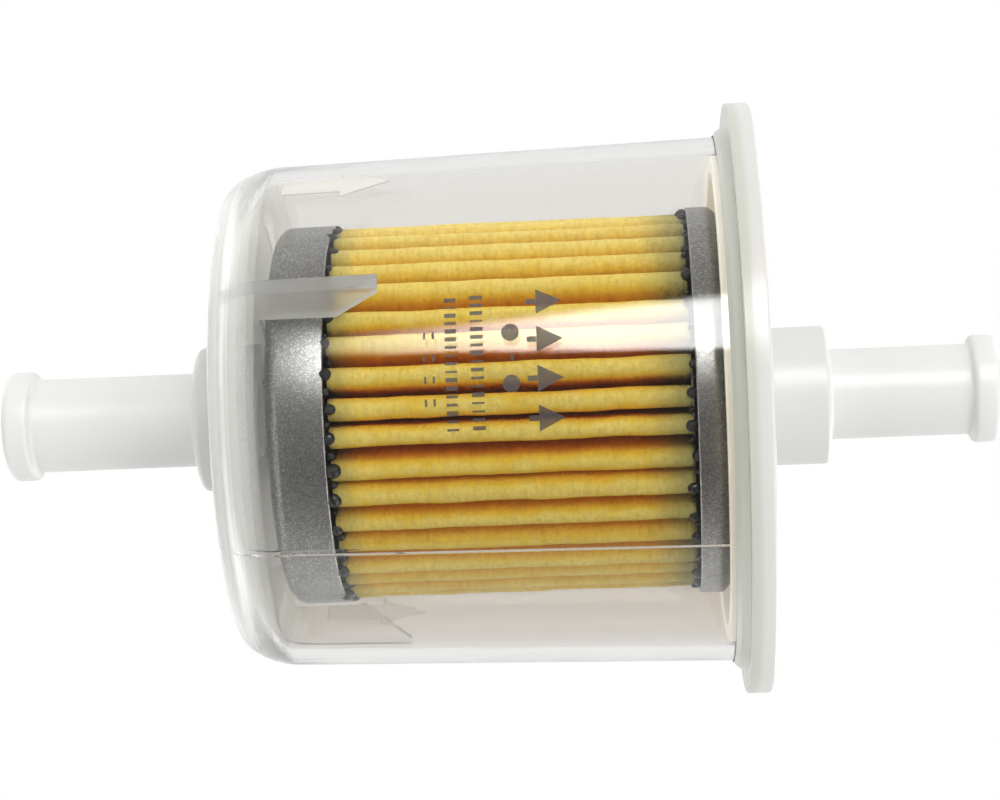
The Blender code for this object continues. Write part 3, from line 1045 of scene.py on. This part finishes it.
@dataclass
class FilterElement:
    """Pleated paper between two steel cups, with its adhesive, core, seal and seam clip."""

    finishes: Finishes
    pleats: int = 39
    seed: int = 7
    phase: float = radians(1.7)
    crest_radius: float = 16.25 * MM
    root_radius: float = 9.2 * MM
    crest_half: float = 0.81 * MM
    crown: float = 0.80 * MM
    crest_share: float = 0.44
    columns: int = 67
    rows_per_pleat: int = 18
    seam_rows: int = 11
    paper_thickness: float = 0.22 * MM
    sheet: float = 0.35 * MM
    cup_bend: float = 1.2 * MM
    outlet_hole: float = 6.6 * MM
    inlet_bead: float = 0.72 * MM
    outlet_bead: float = 0.56 * MM

    def build(self) -> list[Thing]:
        """Build every piece of the element and dress those whose CAD shape is right."""
        self.dress()
        return [self.end_cap(Cup.INLET, 0.0), self.end_cap(Cup.OUTLET, self.outlet_hole),
                self.paper(), self.beads(Cup.INLET, self.inlet_bead, seed=11),
                self.beads(Cup.OUTLET, self.outlet_bead, seed=23)]

    def cup(self, base_x: float, lip_x: float, radius: float, hole: float) -> Profile:
        """Return the profile of a drawn cup."""
        side = 1.0 if base_x > lip_x else -1.0
        inner_x = base_x - side * self.sheet
        inner = radius - self.sheet
        lip, bend = 0.15 * MM, self.cup_bend
        corners = [(base_x, hole), (base_x, radius, bend), (lip_x, radius, lip),
                   (lip_x, inner, lip), (inner_x, inner, bend - self.sheet), (inner_x, hole)]
        return rounded(corners, 7)

    def end_cap(self, cup: Cup, hole: float) -> Thing:
        """Build one drawn steel cup with a hole of some radius."""
        low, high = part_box(cup.value)
        base_x, lip_x = (low.x, high.x) if cup is Cup.INLET else (high.x, low.x)
        made = turned(self.cup(base_x, lip_x, high.z, hole), even_angles(160))
        cap = mesh_object("steel_" + cup.value, made, [self.finishes.steel])
        return keep(cap, Slot.PLATED_STEEL, cup.value)

    def paper(self) -> Thing:
        """Grow the folded sheet from a flat grid: a rounded crest and two walls for each pleat."""
        low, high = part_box("pleated_paper")
        graph = GeometryGraph("Pleated sheet", Length=high.x - low.x, Pleats=self.pleats,
                              Crest=self.crest_radius, Root=self.root_radius,
                              Material=self.finishes.paper)
        inputs = {"Size X": graph["Length"], "Size Y": 1.0, "Vertices X": self.columns,
                  "Vertices Y": self.pleats * self.rows_per_pleat - self.seam_rows}
        grid = graph.node("GeometryNodeMeshGrid", inputs=inputs, output="Mesh")
        x, along, _ = graph.axes(graph.node("GeometryNodeInputPosition"))
        lead = 0.5 * (1 - self.crest_share) / self.pleats
        seam = along * (1 - 2 * lead) + 0.5
        turn = (seam * graph["Pleats"] - 0.5) + 0.5
        item = turn.maths("FLOOR")
        phase = (turn - item - 0.5) * 2.0
        reach = abs(phase)
        side = phase.maths("SIGN")
        arc = reach.span(0.0, self.crest_share) * (pi / 2)
        wall = reach.span(self.crest_share, 1.0)
        width = graph.chance(self.crest_half * 0.88, self.crest_half * 1.1, item, self.seed + 1)
        height = graph.chance(-0.15 * MM, 0.05 * MM, item, self.seed + 2)
        place = graph.vector(x * 90.0, item * 3.7, side * 0.4)
        sway = graph.wobble(place, 2.2, 3.0) * (0.20 * MM)
        swell = graph.wobble(graph.vector(x * 130.0, item * 5.1, 2.0), 1.0, 2.0) * (0.07 * MM)
        crown = arc.maths("COSINE") * self.crown
        top = graph["Crest"] + height + swell - self.crown
        radius = top + crown + (graph["Root"] - top) * wall
        root_half = pi * self.root_radius / self.pleats
        offset = (arc.maths("SINE") * width + (root_half - width) * wall) * side
        step = TAU / self.pleats
        even = (item + 0.5) * step + (pi + self.phase)
        jitter = graph.chance(-0.10 * step, 0.10 * step, item, self.seed) * (1.0 - wall)
        angle = even + jitter + (offset + sway * (1.0 - wall)) / radius
        station = x + (low.x + high.x) / 2
        moved = graph.on_wall(station, angle, radius)
        folded = graph.node("GeometryNodeSetPosition", inputs={"Geometry": grid, "Position": moved})
        sheet = graph.grow("folded_paper_carrier", folded)
        thick = sheet.modifiers.new("Paper thickness", "SOLIDIFY")
        thick.thickness = self.paper_thickness
        thick.offset = 0.0
        paper = take_mesh(sheet, "folded_paper")
        paper.data.shade_smooth()
        return keep(paper, Slot.FILTER_PAPER, "pleated_paper")

    def beads(self, cup: Cup, size: float, seed: int) -> Thing:
        """Grow the beads of adhesive squeezed out round the ends of the pleats.

        Args:
            cup: the cup whose lip they sit at.
            size: radius of an average bead.
            seed: seed of their sizes and places.

        Returns:
            All beads of the cup as one object.
        """
        low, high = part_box(cup.value)
        lip = high.x if cup is Cup.INLET else low.x
        graph = GeometryGraph("Squeezed beads " + cup.value, Lip=lip, Count=2 * self.pleats, Size=size,
                              Radius=self.crest_radius + 0.15 * MM,
                              Material=self.finishes.adhesive)
        line = graph.node("GeometryNodeMeshLine", inputs={"Count": graph["Count"]})
        item = graph.node("GeometryNodeInputIndex")
        step = pi / self.pleats
        between = item.maths("MODULO", 2.0)
        wander = graph.chance(-0.15 * step, 0.15 * step, item, seed)
        angle = (item + 1.0) * step + (pi + self.phase) + wander
        scale = graph.chance(0.45, 1.05, item, seed + 1) * (1.0 - between * 0.35)
        reach = graph.chance(0.0, 0.8, item, seed + 2) * graph["Size"] * cup.opening
        radius = graph["Radius"] - between * (0.5 * MM) - graph["Size"] * 0.3
        place = graph.on_wall(graph["Lip"] + reach, angle, radius)
        moved = graph.node("GeometryNodeSetPosition", inputs={"Geometry": line, "Position": place})
        inputs = {"Radius": graph["Size"], "Subdivisions": 3}
        ball = graph.node("GeometryNodeMeshIcoSphere", inputs=inputs, output="Mesh")
        inputs = {"Points": moved, "Instance": ball, "Scale": graph.vector(scale * 1.1, scale, scale)}
        beads = graph.node("GeometryNodeInstanceOnPoints", inputs=inputs, output="Instances")
        thing = graph.grow("squeezed_beads_" + cup.value, beads)
        thing.data.shade_smooth()
        return keep(thing, Slot.BLACK_ADHESIVE)

    def dress(self) -> None:
        """Give their finishes to the CAD nodes whose shape is right as it is."""
        finishes = self.finishes
        pieces = {"inlet_adhesive": finishes.adhesive, "outlet_adhesive": finishes.adhesive,
                  "outlet_seal": finishes.rubber, "centre_tube": finishes.steel,
                  "seam_clip": finishes.steel}
        for node, material in pieces.items():
            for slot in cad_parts[node].material_slots:
                slot.material = material


@dataclass(frozen=True)
class MarkRow:
    """One row of printed marks that runs round the wall."""

    station: float
    start: float
    end: float
    count: int
    shape: Mark
    length: float
    width: float
    spread: float = 0.0


@dataclass
class PrintedMarks:
    """Generic printed marks on the front of the shell: flow heads, tick rings and bars."""

    finishes: Finishes
    housing: Housing
    lift: float = 0.03 * MM
    seed: int = 3
    rows: tuple[MarkRow, ...] = (
        MarkRow(5.0 * MM, -2.4, 21.8, 4, Mark.HEAD, 1.40 * MM, 1.25 * MM),
        MarkRow(3.9 * MM, -2.4, 21.8, 4, Mark.BAR, 0.55 * MM, 0.32 * MM),
        MarkRow(2.2 * MM, 4.8, 15.4, 2, Mark.DISC, 0.72 * MM, 0.72 * MM),
        MarkRow(2.3 * MM, 10.1, 10.1, 1, Mark.BAR, 0.16 * MM, 0.45 * MM),
        MarkRow(-0.5 * MM, -4.0, 23.3, 17, Mark.BAR, 0.72 * MM, 0.19 * MM, 0.5),
        MarkRow(-2.6 * MM, -4.2, 23.0, 17, Mark.BAR, 0.66 * MM, 0.18 * MM, 0.5),
        MarkRow(-4.0 * MM, 1.5, 15.5, 4, Mark.BAR, 0.14 * MM, 0.42 * MM),
        MarkRow(-4.7 * MM, 1.5, 15.5, 4, Mark.BAR, 0.14 * MM, 0.42 * MM),
    )

    def build(self) -> Thing:
        """Grow every row flat, then wrap all of them onto the drafted wall."""
        housing = self.housing
        graph = GeometryGraph("Printed marks", Mouth=housing.mouth_x, Lift=self.lift,
                              Radius=housing.mouth_radius, Draft=housing.draft,
                              Material=self.finishes.ink)
        join = graph.add("GeometryNodeJoinGeometry")
        for number, row in enumerate(self.rows):
            graph.tree.links.new(self.row(graph, row, self.seed + number).socket, join.inputs[0])
        flat = graph.node("GeometryNodeRealizeInstances", inputs={0: Value(graph, join.outputs[0])})
        x, angle, _ = graph.axes(graph.node("GeometryNodeInputPosition"))
        radius = graph["Radius"] - (graph["Mouth"] - x) * graph["Draft"] + graph["Lift"]
        inputs = {"Geometry": flat, "Position": graph.on_wall(x, angle / radius, radius)}
        wrapped = graph.node("GeometryNodeSetPosition", inputs=inputs)
        return keep(graph.grow("printed_marks", wrapped), Slot.CLEAR_NYLON)

    def row(self, graph: GeometryGraph, row: MarkRow, seed: int) -> Value:
        """Return one row of flat marks in station and arc length."""
        radius = self.housing.radius_at(row.station) + self.lift
        start, end = radians(row.start) * radius, radians(row.end) * radius
        step = (end - start) / max(row.count - 1, 1)
        inputs = {"Count": row.count, "Start Location": (row.station, start, 0.0),
                  "Offset": (0.0, step, 0.0)}
        line = graph.node("GeometryNodeMeshLine", inputs=inputs)
        item = graph.node("GeometryNodeInputIndex")
        inputs = {"Vertices": row.shape.value, "Radius": 1.0}
        shape = graph.node("GeometryNodeMeshCircle", {"fill_type": "NGON"}, inputs)
        if row.shape is Mark.BAR:
            inputs = {"Size X": 1.414, "Size Y": 1.414, "Vertices X": 2, "Vertices Y": 2}
            shape = graph.node("GeometryNodeMeshGrid", inputs=inputs, output="Mesh")
        wide = graph.chance(1.0 - row.spread, 1.0 + row.spread, item, seed) * row.width
        scale = graph.vector(row.length, wide, 1.0)
        inputs = {"Points": line, "Instance": shape, "Scale": scale}
        return graph.node("GeometryNodeInstanceOnPoints", inputs=inputs, output="Instances")


# Studio


@dataclass
class Studio:
    """White studio with a long soft strip above the front, and the camera."""

    foot_x: float = 11.4 * MM
    distance: float = 221.24 * MM
    lens: float = 90.0
    yaw: float = radians(2.931)
    pitch: float = radians(0.177)
    roll: float = radians(-2.315)
    floor_z: float = -0.30
    floor_half: float = 1.2
    strip_power: float = 10.0
    strip_top: Pair = (radians(35), radians(46))
    strip_low: Pair = (radians(27), radians(21))
    strip_low_edge: Pair = (radians(-1), radians(1.5))
    strip_high_edge: Pair = (radians(-1), radians(3.5))
    strip_left: Pair = (-0.19, -0.06)
    strip_right: Pair = (0.5, 0.3)
    left_power: float = 1.6
    right_power: float = 2.35
    side_edge: Pair = (0.30, 0.55)
    end_fade: Pair = (0.75, 0.97)
    end_share: float = 0.15
    left_tilt: float = 0.25
    right_tilt: float = 0.65
    fill_power: float = 0.25
    room_front: float = 0.12
    room_back: float = 0.95
    inner_low: float = 1.05
    inner_high: float = 2.6
    backdrop_low: Colour = (0.64, 0.575, 0.50)
    backdrop_high: Colour = (0.97, 0.965, 0.95)

    def camera(self) -> None:
        """Place the camera in front, square to the flow axis and slightly turned."""
        data = bpy.data.cameras.new("camera")
        data.lens = self.lens
        data.sensor_width = 36.0
        data.clip_start = 0.01
        data.clip_end = 100.0
        ahead = Vector((-sin(self.yaw), cos(self.yaw), 0.0))
        right = Vector((cos(self.yaw), sin(self.yaw), 0.0))
        up = Vector((0.0, 0.0, 1.0))
        aim = ahead * cos(self.pitch) + up * sin(self.pitch)
        crown = up * cos(self.pitch) - ahead * sin(self.pitch)
        across = right * cos(self.roll) + crown * sin(self.roll)
        upright = crown * cos(self.roll) - right * sin(self.roll)
        camera = add_object("camera", data)
        turn = Matrix((across, upright, -aim)).transposed().to_4x4()
        camera.matrix_world = Matrix.Translation((self.foot_x, -self.distance, 0.0)) @ turn
        bpy.context.scene.camera = camera

    def world(self) -> None:
        """White seen straight through, and a dimmer room with a soft strip for everything lit."""
        world = bpy.data.worlds.new("studio")
        bpy.context.scene.world = world
        world.use_nodes = True
        graph = Graph(world.node_tree)
        world.node_tree.nodes.clear()
        direction = graph.node("ShaderNodeTexCoord", output="Generated")
        across, ahead, height = graph.axes(direction)
        path = graph.add("ShaderNodeLightPath")
        steps, crossings, scatters, crossing = (
            Value(graph, path.outputs[title])
            for title in ("Ray Depth", "Transmission Depth", "Diffuse Depth", "Is Transmission Ray"))
        seen = Value(graph, path.outputs["Is Camera Ray"])
        straight = (steps - crossings).maths("LESS_THAN", 1.5) * seen.maths("MAXIMUM", crossing)
        room = ahead.span(-0.75, 0.35, self.room_front, self.room_back, smooth=True)
        room = room + height.span(-0.80, -0.98, 0.0, self.fill_power, smooth=True)
        sides = abs(across).span(*self.side_edge, smooth=True)
        side_power = across.span(-0.6, 0.6, self.left_power, self.right_power)
        tilt = across.span(-0.6, 0.6, self.left_tilt, self.right_tilt)
        side_power = side_power * (1.15 - height * tilt)
        side_power = side_power * abs(across).span(*self.end_fade, 1.0, self.end_share)
        rise = height.maths("ARCTAN2", ahead * -1.0)
        top = across.span(-0.17, 0.0, *self.strip_top)
        low = across.span(-0.17, 0.0, *self.strip_low)
        low_edge = (rise - low).span(*self.strip_low_edge, smooth=True)
        high_edge = (top - rise).span(*self.strip_high_edge, smooth=True)
        ends = across.span(*self.strip_left, smooth=True) * across.span(*self.strip_right, smooth=True)
        strip = low_edge * high_edge * ends * self.strip_power
        around = room + (side_power - room) * sides + strip
        inside = height.span(-0.6, 0.8, self.inner_low, self.inner_high, smooth=True)
        lit = around + (inside - around) * crossing * scatters.maths("MINIMUM", 1.0)
        fall = height.span(-0.13, 0.02, smooth=True)
        drop = graph.mix(fall, self.backdrop_low, self.backdrop_high)
        behind = graph.mix(seen, drop, (1.0, 1.0, 1.0))
        neutral = graph.node("ShaderNodeCombineColor", inputs={0: lit, 1: lit, 2: lit})
        colour = graph.mix(straight, neutral, behind)
        shade = graph.node("ShaderNodeBackground", inputs={"Color": colour, "Strength": 1.0})
        graph.add("ShaderNodeOutputWorld", inputs={"Surface": shade})

    def floor(self) -> None:
        """Lay a pale floor far below the object."""
        made = bmesh.new()
        bmesh.ops.create_grid(made, x_segments=1, y_segments=1, size=self.floor_half)
        graph = MaterialGraph("floor_finish")
        grain = graph.noise(0.4, 2.0)
        colour = graph.ramp(grain, (0.0, (0.93, 0.93, 0.93)), (1.0, (0.96, 0.96, 0.96)))
        material = graph.finish({"Base Color": colour, "Roughness": 0.9})
        floor = mesh_object("floor", made, [material])
        floor.location.z = self.floor_z
        floor.visible_glossy = False
        floor.visible_transmission = False
        floor.visible_diffuse = False

    def build(self) -> None:
        """Set up the camera, the world and the floor."""
        self.camera()
        self.world()
        self.floor()
        bpy.context.scene.view_settings.view_transform = "Standard"


def main() -> None:
    """Build the filter and its studio."""
    logging.basicConfig(level=logging.INFO, format="%(name)s: %(message)s")
    Studio().build()
    finishes = Finishes.mix_all()
    housing = Housing(finishes)
    for assembly in (housing, OutletCover(finishes), WeldBead(finishes), FilterElement(finishes),
                     PrintedMarks(finishes, housing)):
        made = assembly.build()
        for piece in made if isinstance(made, list) else [made]:
            LOG.info("%s: %d faces", piece.name, len(piece.data.polygons))


if __name__ == "__main__":
    main()
